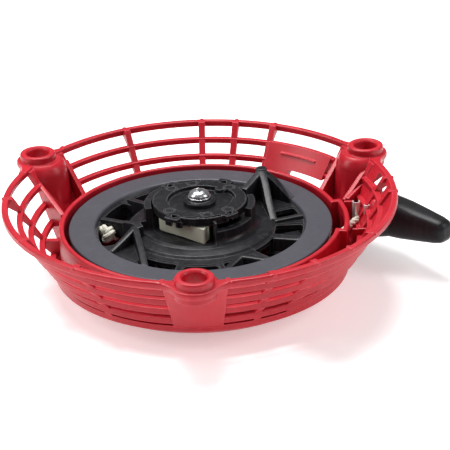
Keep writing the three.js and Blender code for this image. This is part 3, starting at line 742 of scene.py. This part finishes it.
def boss_panels():
    panel = [(cage_r(BASE_Z), BASE_Z), (cage_r(RIM_TOP_Z - 1), RIM_TOP_Z - 1),
             (cage_r(RIM_TOP_Z - 1) - 3, RIM_TOP_Z - 1), (cage_r(BASE_Z) - 1.8, BASE_Z)]
    return [turned(panel, angle - BOSS_HALF_ANGLE, angle + BOSS_HALF_ANGLE, 2.3, soft=0.3)
            for angle in BOSS_ANGLES]


def boss_tops():
    solids = []
    collar = rounded([(BOSS_HOLE_R - 1, BOSS_SEAT_Z), (8.7, BOSS_SEAT_Z), (8.7, BOSS_SHOULDER_Z, 0.3),
                      (BOSS_COLLAR_R, BOSS_SHOULDER_Z, 0.6), (BOSS_COLLAR_R, BOSS_TOP_Z, 0.9),
                      (BOSS_HOLE_R - 1, BOSS_TOP_Z)])
    for angle in BOSS_ANGLES:
        solids.append(turn_z(prism(shoulder_outline(), 39.3, BOSS_SHOULDER_Z, 1.0), angle))
        solids.append(turned(collar, step=8, centre=polar(BOSS_PITCH_R, angle)))
    return solids


def boss_cuts():
    cuts = []
    flare_r = BOSS_HOLE_R + 0.9
    bore = rounded([(0, 30), (BOSS_HOLE_R, 30), (BOSS_HOLE_R, BOSS_TOP_Z - 0.8, 0.6),
                    (flare_r, BOSS_TOP_Z + 0.02), (flare_r, BOSS_TOP_Z + 2), (0, BOSS_TOP_Z + 2)])
    for angle in BOSS_ANGLES:
        x, y = polar(BOSS_PITCH_R, angle).xy
        cuts.append(turned(bore, step=8, centre=(x, y)))
        cuts.append(round_bar(BOSS_POCKET_R, -5, BOSS_SEAT_Z, x, y))
    return cuts


def outside_cone():
    """Everything outside the cage's cone and below the boss shoulders."""
    return turned([(cage_r(2), 2), (cage_r(39.4), 39.4), (125, 39.4), (125, 2)], step=3)


# ------------------------------------------------------------ housing: face, well and rope chamber


def face_parts():
    face = rounded([(0, 0), (41, 0, 3), (50, 1.6, 8), (56, 4.6, 8), (61.8, 9.5, 0.6), (62.6, 11.2),
                    (60, 11.2), (54.6, 6.8, 6), (49.3, 4, 6), (42, 2.4, 4), (0, 2.4)], 12)
    post = rounded([(0, 2), (7, 2), (7, 28, 0.4), (5.5, 28, 0.3), (5.5, 38, 0.4), (2.3, 38), (2.3, 22),
                    (0, 22)])
    spring_wall = [(30, 2), (31.8, 2), (31.8, 10.6), (30, 10.6)]
    return [turned(face, step=3), turned(post, step=10), turned(spring_wall, step=5, soft=0.3)]


def face_grooves():
    """Shallow rings in the outside of the face."""
    rings = [turned([(r, -1), (r + 1.4, -1), (r + 1.1, 0.5), (r + 0.3, 0.5)], step=3) for r in (22, 37)]
    return rings + [round_bar(2.6, -1, 0.8)]


def well_parts():
    ring = rounded([(WELL_INNER_R, 9), (WELL_OUTER_R, 9), (WELL_OUTER_R, WELL_TOP_Z, 0.8),
                    (WELL_INNER_R, WELL_TOP_Z, 0.8)])
    bulge = rounded([(BULGE_INNER_R, 11), (BULGE_OUTER_R, 11), (BULGE_OUTER_R, WELL_TOP_Z, 0.9),
                     (BULGE_INNER_R, WELL_TOP_Z, 0.9)])
    sill = [(WELL_INNER_R, 9), (WELL_OUTER_R, 9), (WELL_OUTER_R, 13.5), (WELL_INNER_R, 13.5)]
    end = rounded([(WELL_INNER_R, 9), (BULGE_OUTER_R, 11), (BULGE_OUTER_R, WELL_TOP_Z, 0.9),
                   (WELL_INNER_R, WELL_TOP_Z, 0.5)])
    return [turned(ring, BULGE_TO, 360 + BULGE_FROM, 3), turned(bulge, BULGE_FROM, BULGE_TO, 3),
            turned(sill, BULGE_FROM - 1, BULGE_TO + 1, 3),
            radial_wall(end, 2.6, BULGE_FROM, 0.5), radial_wall(end, 2.4, BULGE_TO, 0.5)]


pull = polar(1, PULL_ANGLE)
across = Vector((pull.y, -pull.x, 0))


def from_guide(along, side, z):
    """Point measured from the rope guide along the pull and across it."""
    point = GUIDE_AT + pull * along + across * side
    point.z = z
    return point


def chamber_parts():
    """Walls and lumps of the chamber that the rope leaves through."""
    inner = from_guide(0.4, -5.2, 0)
    outer = from_guide(0.4, 5.2, 0)
    walls = [
        wall_between((inner.x, inner.y, 30.2), (62.8, 16.4, 29.8), 12, 1.7),
        wall_between((outer.x, outer.y, 30.4), (76.4, 6.2, 30.4), 12, 1.7),
        wall_between((64.4, -2.9, 25.4), (72, -2.9, 25.8), 11, 1.8),
        wall_between((64.1, 17.9, 30.4), (71.2, 27.6, 33.2), 12, 1.9),
        wall_between((71.6, -1.8, 25), (74.6, 5.2, 27.4), 12, 2.2, 0.9),
        wall_between((74.6, 5.2, 27.4), (76.9, 15.5, 33.4), 12, 3.2, 1.2),
        blob(77.4, 14.6, 33, 3.0, 3.8, 4.6, 15),
        blob(76.0, 8.4, 29.5, 2.6, 3.4, 4.4, 15),
        blob(76.6, 32.6, 31.4, 4.4, 3.4, 2.8, 40),
        blob(72.6, 30.2, 28, 2.8, 3.2, 6.0, 30),
        blob(75, 26, 33.4, 2.4, 4.2, 2.6, 20),
    ]
    return walls


def rope_way():
    """Clear way for the rope through the chamber wall and the cage."""
    points = arc((0, 0), 4.6, 0, 345, 15)
    rings = []
    for along, z in ((-7, 23.4), (0, 22.8), (24, GRIP_AXIS_Z + 1)):
        middle = from_guide(along, 0, z)
        rings.append([middle + across * a + Vector((0, 0, 1)) * b for a, b in points])
    window = turned([(BULGE_INNER_R - 1.5, 17.4), (BULGE_OUTER_R + 1.2, 17.4), (BULGE_OUTER_R + 1.2, 26.4),
                     (BULGE_INNER_R - 1.5, 26.4)], -7, 9, 4)
    return [loft(rings), window]


def build_housing():
    steps = joined(boss_columns() + boss_panels())
    steps += away([outside_cone()])
    sheets = [blind_sheet(40.2, 66.4, 26.8, 36.3, 4.3), blind_sheet(56, 66.4, BASE_Z, 29.2, 4.3),
              blind_sheet(-54.8, -30.5, BASE_Z, RIM_TOP_Z), blind_sheet(-30.5, 21.2, BASE_Z, RIM_TOP_Z)]
    bead = turned([(73.2, 32.3), (77, 32.3), (77, 33.2), (73.6, 33.2)], 46, 61, 3, 0.25)
    steps += joined(sheets + cage_parts() + boss_tops() + [bead])
    steps += away(blind_slots() + chamber_slots() + boss_cuts())
    cage = shaped("housing_cage", steps)
    names = [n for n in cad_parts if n.startswith(("cage_bay", "mounting_boss"))]
    fit_out(cage, "housing", red_plastic, names)
    chamber = joined(chamber_parts())
    steps = [*chamber, *away([outside_cone()]), *joined(face_parts() + well_parts())]
    well = shaped("housing_well", steps + away(rope_way() + face_grooves()))
    fit_out(well, "housing", red_plastic,
            ["front_face", "spring_wall", "centre_post", "drum_well", "rope_exit_bay"])


build_housing()


# ------------------------------------------------------------ reel

WINDOWS = [
    (36.5, 44, -128, -104), (38, 44.4, -99, -78), (36.5, 44.4, -74, -52), (33, 44.4, -46, -21),
    (32.5, 44.4, -15, 1), (33, 44.4, 6.5, 24), (30, 44.4, 60, 96), (31.5, 44.4, 101, 136),
    (31.5, 44.4, 142, 166), (32.5, 44.4, 171, 203),
]


# Stretches of windows that are closed underneath.
WINDOW_FLOORS = [(-17, 28), (58, 140)]


def window_cut(r0, r1, start, end):
    """Deck window with rounded corners and softened upper edge."""
    above = DECK_TOP_Z + 6
    return [sector(r0, r1, start, end, DECK_BOTTOM_Z - 8, above, corner=1.6),
            sector(r0 - 0.5, r1 + 0.4, start - 0.7, end + 0.7, DECK_TOP_Z - 0.55, above,
                   corner=2.2, soft=0.3)]


def ridge(points, thickness, soft=0.7):
    """Tall fin that stands on the deck and follows ridge points."""
    line = smooth_path(points, 3)
    rings = []
    for i, here in enumerate(line):
        ahead = (line[min(i + 1, len(line) - 1)] - line[max(i - 1, 0)]).to_2d().normalized()
        side = Vector((ahead.y, -ahead.x, 0)) * thickness / 2
        foot = Vector((here.x, here.y, DECK_BOTTOM_Z))
        rings.append([foot + side * 1.25, foot - side * 1.25, here - side, here + side])
    return soften(loft(rings), soft, 50)


def gussets():
    """Fins that rise to an apex on each side of the hub, with a peg on the back one."""
    front_apex = (-27.6, -10.6, 33)
    back_apex = (26.8, 32.6, 39)
    return [
        ridge([front_apex, (-31.4, -17.5, 31.2), (-37.6, -25.2, 28.2)], 2.6),
        ridge([front_apex, (-24.6, -26, 30.6), (-22, -41, 28.2)], 2.8),
        ridge([(-21, -6.4, 33), front_apex], 5.4),
        ridge([(-33, -2.4, 31.4), (-27, -8.4, 33)], 2.0),
        ridge([(18.8, 19, 35.6), (22.6, 25.4, 37), back_apex], 3.2),
        ridge([back_apex, (28.6, 23, 36), (30, 13, 31.6), (31.8, 2.6, 28.2)], 3.2),
        ridge([back_apex, (33, 28.6, 35.4), (40.4, 23, 29)], 3.8),
        round_bar(2.6, DECK_BOTTOM_Z, 39.3, 26.8, 33.4, 0.8, 12),
    ]


def spokes():
    """Upright ribs on the spokes between windows, as plan points with heights."""
    lines = [
        [(-43.6, 8.6, 28.2), (-32, 0.4, 29.6)], [(-32.6, 28.4, 28.2), (-23, 17, 30.6)],
        [(31.8, 2.2, 28.2), (44.6, 7.2, 28.4)], [(31.4, -13.6, 27.6), (44, -17, 28)],
        [(11.4, -44.4, 28.2), (17.6, -32, 28.4)], [(17.6, -32, 28.4), (30.4, -36.4, 28.2)],
    ]
    return [wall_between(a, b, DECK_BOTTOM_Z - 3, 3, 0.9) for a, b in lines]


def build_reel():
    barrel = rounded([(44.4, DECK_BOTTOM_Z - 1), (44.4, REEL_BOTTOM_Z, 0.3), (REEL_R, REEL_BOTTOM_Z, 0.6),
                      (REEL_R, 18, 0.6), (BARREL_R, 18, 0.4), (BARREL_R, 26.4, 0.4), (REEL_R, 26.4, 0.6),
                      (REEL_R, REEL_TOP_Z, 0.7), (45.8, REEL_TOP_Z, 1.3), (44.6, 26, 1)])
    deck = rounded([(7.4, 11.3), (10.5, 11.3), (10.5, DECK_BOTTOM_Z), (45, DECK_BOTTOM_Z), (45, DECK_TOP_Z),
                    (32.4, DECK_TOP_Z, 0.5), (31.2, 27.7, 0.8), (26.4, 28.4, 1), (HUB_R, 30, 2.4),
                    (HUB_R, HUB_TOP_Z, 0.5), (HUB_INNER_R, HUB_TOP_Z, 0.4), (HUB_INNER_R, HUB_FLOOR_Z),
                    (7.4, HUB_FLOOR_Z)])
    steps = joined([turned(deck, step=4), turned(barrel, step=3)])
    steps += away([cut for window in WINDOWS for cut in window_cut(*window)])
    steps += joined(gussets() + spokes())
    steps += joined([sector(30, 45, start, end, 16, 17.4) for start, end in WINDOW_FLOORS])
    low_wall = [(HUB_INNER_R - 1, 34.6), (HUB_R + 1, 34.6), (HUB_R + 1, 41), (HUB_INNER_R - 1, 41)]
    cuts = [turned(low_wall, -71, -22, 4)]
    for turn in (0, 180):
        cuts.append(sector(HUB_INNER_R - 1.5, HUB_R + 2.6, turn - 164, turn - 73, 29.2, HUB_TOP_Z + 2,
                           corner=0.8))
        cuts.append(turn_z(round_bar(3.6, 26, HUB_FLOOR_Z + 1, *PAWL_PIVOT), turn))
    cuts.append(turned([(0, HUB_FLOOR_Z), (HUB_INNER_R, HUB_FLOOR_Z), (HUB_INNER_R, 45), (0, 45)], step=4))
    steps += away(cuts)
    steps += joined([turn_z(round_bar(1.7, 25, 35.5, *PAWL_PIVOT, soft=0.3, sides=16), turn)
                     for turn in (0, 180)])
    reel = shaped("reel_moulding", steps)
    fit_out(reel, "reel", black_plastic,
            ["reel", "reel_deck", "reel_hub", "reel_gusset_front", "reel_gusset_back"])


build_reel()


# ------------------------------------------------------------ pawls, guide and fasteners


def build_pawls():
    blade = rounded([(-15.9, -8.9, 1), (-11, -12.2, 3), (-6.5, -15.6, 3), (-2, -19.5, 2), (2.2, -22.6, 0.4),
                     (4.4, -17.6, 0.8), (0, -13.2, 2), (-5, -8.2, 2), (-10.4, -3.2, 1)])
    for number, turn in ((1, 0), (2, 180)):
        steps = joined([prism(blade, 29, 35.9, 0.35), round_bar(4, 29, 35.9, *PAWL_PIVOT, soft=0.35)])
        steps += away([round_bar(2, 28, 37, *PAWL_PIVOT)])
        pawl = shaped(f"pawl_nylon_{number}", steps)
        pawl.data.transform(Matrix.Rotation(math.radians(turn), 4, "Z"))
        fit_out(pawl, f"pawl_{number}", pawl_nylon, [f"pawl_{number}"])


def build_guide():
    disc = rounded([(5.8, GUIDE_BOTTOM_Z), (GUIDE_R, GUIDE_BOTTOM_Z, 0.4), (GUIDE_R, GUIDE_TOP_Z, 0.45),
                    (13.9, GUIDE_TOP_Z, 0.35), (13.5, 38.1, 0.4), (5.8, 38.1)])
    solids = [turned(disc, step=4)]
    cuts = []
    for turn in (0, 180):
        for corner_angle, reach in ((-121, 23.2), (-49, 22.4)):
            middle = turn + corner_angle
            solids.append(sector(18.6, reach, middle - 9, middle + 9, 38.4, GUIDE_TOP_Z, 0.25, corner=1.4))
            triangle = [polar(18.9, middle - 6).xy, polar(reach - 1, middle).xy, polar(18.9, middle + 7).xy]
            cuts.append(prism(rounded([(*p, 0.5) for p in triangle]), 30, 45))
        solids.append(sector(19.1, 20.8, turn - 134, turn - 110, 35, 38, 0.3, corner=0.5))
        cuts.append(sector(19, 20, turn - 108, turn - 90, 38.3, 45, corner=0.4))
        cuts.append(sector(18.7, 20, turn - 84, turn - 60, 38.3, 45, corner=0.4))
    cuts.append(sector(13, 15.4, 0, 40, 38.1, 45, corner=0.9))
    for angle in MARK_ANGLES:
        x, y = polar(16.9, angle).xy
        ring = [(2, GUIDE_TOP_Z - 0.5), (2.45, GUIDE_TOP_Z - 0.5), (2.45, 45), (2, 45)]
        cuts.append(turned(ring, step=20, centre=(x, y)))
    guide = shaped("ratchet_guide_disc", joined(solids) + away(cuts)
                   + joined([round_bar(1.9, 38, GUIDE_TOP_Z, 8.4, 10.4, 0.3, 16)]))
    fit_out(guide, "guide", guide_plastic, ["ratchet_guide"])


def build_fasteners():
    collar = rounded([(2.6, 38.3), (6.9, 38.3, 0.3), (6.9, 39.7, 0.5), (5.7, 40.5, 0.4), (2.6, 40.5)])
    fit_out(as_object("guide_collar_flange", turned(collar, step=8)), "housing", guide_plastic,
            ["guide_collar"])
    washer = rounded([(2.6, 40.6), (5, 40.6, 0.2), (5, 41.45, 0.25), (2.6, 41.45)])
    fit_out(as_object("washer_plated", turned(washer, step=8)), "housing", plated_steel,
            ["flat_washer"])
    head = rounded([(0, 24), (1.9, 24), (1.9, 41.5), (4.4, 41.5, 0.3), (4.5, 42.3, 0.8), (3.4, 43.6, 1.6),
                    (1.6, 44.05, 2), (0, 44.1)])
    recess = []
    for turn in (20, 110):
        rings = []
        for z, reach, width in ((42.2, 0.7, 0.35), (45, 2.7, 0.75)):
            rings.append([(-reach, -width, z), (reach, -width, z), (reach, width, z), (-reach, width, z)])
        recess.append(turn_z(loft(rings), turn))
    screw = shaped("screw_cross_head", joined([turned(head, step=8)]) + away(recess))
    fit_out(screw, "housing", plated_steel, ["centre_screw"])


build_pawls()
build_guide()
build_fasteners()


# ------------------------------------------------------------ rope, knots and steel guide


def strands(points, radius, pitch, sides=8):
    """Three strands laid together along a path."""
    path = [Vector(p) for p in points]
    lengths = [0]
    for a, b in zip(path, path[1:]):
        lengths.append(lengths[-1] + (b - a).length)
    solids = []
    for strand in range(3):
        line = []
        side = None
        for i, here in enumerate(path):
            ahead = (path[min(i + 1, len(path) - 1)] - path[max(i - 1, 0)]).normalized()
            if side is None:
                side = ahead.orthogonal().normalized()
            side = (side - ahead * side.dot(ahead)).normalized()
            up = ahead.cross(side)
            a = 2 * math.pi * (strand / 3 + lengths[i] / pitch)
            line.append(here + 0.5 * radius * (side * math.cos(a) + up * math.sin(a)))
        solids.append(tube(line, radius * 0.56, sides))
    return solids


def merged(name, solids):
    """One piece from solids that only touch."""
    whole = bmesh.new()
    for solid in solids:
        mesh = bpy.data.meshes.new(name)
        solid.to_mesh(mesh)
        solid.free()
        whole.from_mesh(mesh)
        bpy.data.meshes.remove(mesh)
    return as_object(name, whole)


def rope_path():
    entry = from_guide(-2.6, -0.2, 23.9)
    start_r = 52.7
    reach = math.sqrt(entry.x ** 2 + entry.y ** 2 - start_r ** 2)
    heading = math.atan2(entry.y, entry.x) + math.asin(start_r / math.hypot(entry.x, entry.y))
    start = Vector((entry.x - reach * math.cos(heading), entry.y - reach * math.sin(heading), 22.4))
    return smooth_path([start, start.lerp(entry, 0.5), entry, from_guide(0, 0, 23.2),
                        from_guide(4, 0, GRIP_AXIS_Z + 1.4), from_guide(9, 0, GRIP_AXIS_Z),
                        from_guide(GRIP_CENTRE_ALONG - 0.4, 0, GRIP_AXIS_Z)], 14)


def knot_solids(centre, size):
    """Overhand knot pulled tight."""
    line = []
    for k in range(72):
        t = 2 * math.pi * k / 72
        turn = Vector((math.sin(t) + 1.5 * math.sin(2 * t), math.cos(t) - 1.5 * math.cos(2 * t),
                       -1.3 * math.sin(3 * t)))
        line.append(Vector(centre) + size * turn)
    return strands(line + line[:3], 2.1, 8)


def build_rope():
    rope = merged("rope_to_grip", strands(rope_path(), ROPE_R, 9))
    fit_out(rope, None, rope_fibre, ["rope_run"], even=False)
    start = from_guide(1, 0, 21) * MM
    end = from_guide(6, 0, GRIP_AXIS_Z) * MM
    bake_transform(rope)
    turns = []
    for k in range(0, 361):
        height = 19.6 + 5.2 * (k / 360)
        turns.append(polar(48.8, 10 * k * 0.95, height))
    wound = merged("rope_on_reel", strands(turns, ROPE_R, 9, 6))
    fit_out(wound, "reel", rope_fibre, ["wound_rope"], even=False)
    low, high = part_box("reel_knot")
    knot = merged("rope_end_knot", knot_solids((low + high) / 2 / MM + Vector((-0.6, 2.2, 1.6)), 1.35))
    fit_out(knot, "reel", rope_fibre, ["reel_knot"], even=False)
    low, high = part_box("grip_knot")
    grip_knot = merged("grip_end_knot", knot_solids((low + high) / 2 / MM, 0.95))
    fit_out(grip_knot, "grip", rope_fibre, ["grip_knot"], even=False)


def strip(path, thickness, bottom, top):
    """Bent sheet that stands along a plan path."""
    line = [Vector(p) for p in path]
    outer, inner = [], []
    for i, here in enumerate(line):
        ahead = (line[min(i + 1, len(line) - 1)] - line[max(i - 1, 0)]).normalized()
        normal = Vector((ahead.y, -ahead.x)) * thickness / 2
        outer.append(tuple(here + normal))
        inner.append(tuple(here - normal))
    return prism(outer + inner[::-1], bottom, top, 0.12)


LINER_POSTS = [(68, 13.5, 1.5), (72.4, 9.5, 1.05)]


def build_steel_guide():
    """Bent liner: a sill between two upright posts that are rolled over the walls' ends."""
    solids = []
    for x, y, r in LINER_POSTS:
        solids.append(strip(arc((x, y), r, -222, 46, 16), 0.5, 18.2, 30.9))
    sill_low, sill_high = from_guide(-0.3, -3.2, 0), from_guide(-0.3, 3.2, 0)
    sill = [(end.x, end.y, 19.2) for end in (sill_low, sill_high)]
    solids.append(wall_between(*sill, 18.3, 3.2, 0.3))
    liner = merged("rope_guide_liner", solids)
    fit_out(liner, "housing", liner_steel, ["rope_guide"])


build_rope()
build_steel_guide()


# ------------------------------------------------------------ grip


def grip_ring(centre, one, other, half_one, half_other, power, sides=40):
    """Rounded-square section in the plane of two directions."""
    ring = []
    for k in range(sides):
        a = 2 * math.pi * k / sides
        c, s = math.cos(a), math.sin(a)
        u = math.copysign(abs(c) ** (2 / power), c)
        v = math.copysign(abs(s) ** (2 / power), s)
        ring.append(centre + one * (half_one * u) + other * (half_other * v))
    return ring


# Place along the grip as a share of its half length, then half width and half height.
GRIP_HALF_SECTIONS = [
    (0, 8.8, 9.0), (0.3, 8.0, 8.3), (0.6, 6.7, 7.0), (0.85, 5.6, 5.8), (0.94, 4.9, 5.0), (0.975, 4.0, 4.2),
    (0.995, 2.8, 3.0), (1, 1.6, 1.8),
]
GRIP_SECTIONS = [(-place, *sizes) for place, *sizes in GRIP_HALF_SECTIONS[:0:-1]] + GRIP_HALF_SECTIONS
GRIP_NECK = [(6.4, 5.8, 6.2), (6.9, 6.5, 6.9), (9, 7.3, 7.5), (12, 8.6, 8.2), (17.5, 9.6, 8.4)]


def build_grip():
    roll = math.radians(GRIP_ROLL)
    up = Vector((0, 0, 1))
    bar = across * math.cos(roll) + up * math.sin(roll)
    bar_up = -pull.cross(bar)
    middle = from_guide(GRIP_CENTRE_ALONG, 0, GRIP_AXIS_Z)
    rings = [grip_ring(middle + bar * place * GRIP_HALF_LENGTH, pull, bar_up, wide, tall, 2.7)
             for place, wide, tall in GRIP_SECTIONS]
    neck = [grip_ring(from_guide(along, 0, GRIP_AXIS_Z), -across, up, wide, tall, 2.5)
            for along, wide, tall in GRIP_NECK]
    bore = [grip_ring(from_guide(along, 0, GRIP_AXIS_Z), -across, up, 2.1, 2.1, 2, 24) for along in (0, 19.5)]
    pocket = [grip_ring(from_guide(along, 0, GRIP_AXIS_Z), -across, up, 4.6, 4.6, 2, 24)
              for along in (17.5, 32)]
    grip = shaped("grip_bar", joined([loft(rings), loft(neck)]) + away([loft(bore), loft(pocket)]))
    fit_out(grip, "grip", grip_plastic, ["grip"])
    cap = [grip_ring(from_guide(along, 0, GRIP_AXIS_Z), -across, up, wide, wide, 2, 32)
           for along, wide in ((24.9, 4.0), (25.1, 4.3), (26.1, 4.3), (26.5, 3.9), (26.6, 2))]
    fit_out(as_object("grip_end_cap", loft(cap)), "grip", grip_plastic, ["grip_cap"])


build_grip()

for name in ("recoil_spring", "friction_spring", "pawl_spring_1", "pawl_spring_2"):
    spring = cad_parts[name]
    spring.data.materials.clear()
    spring.data.materials.append(spring_steel)
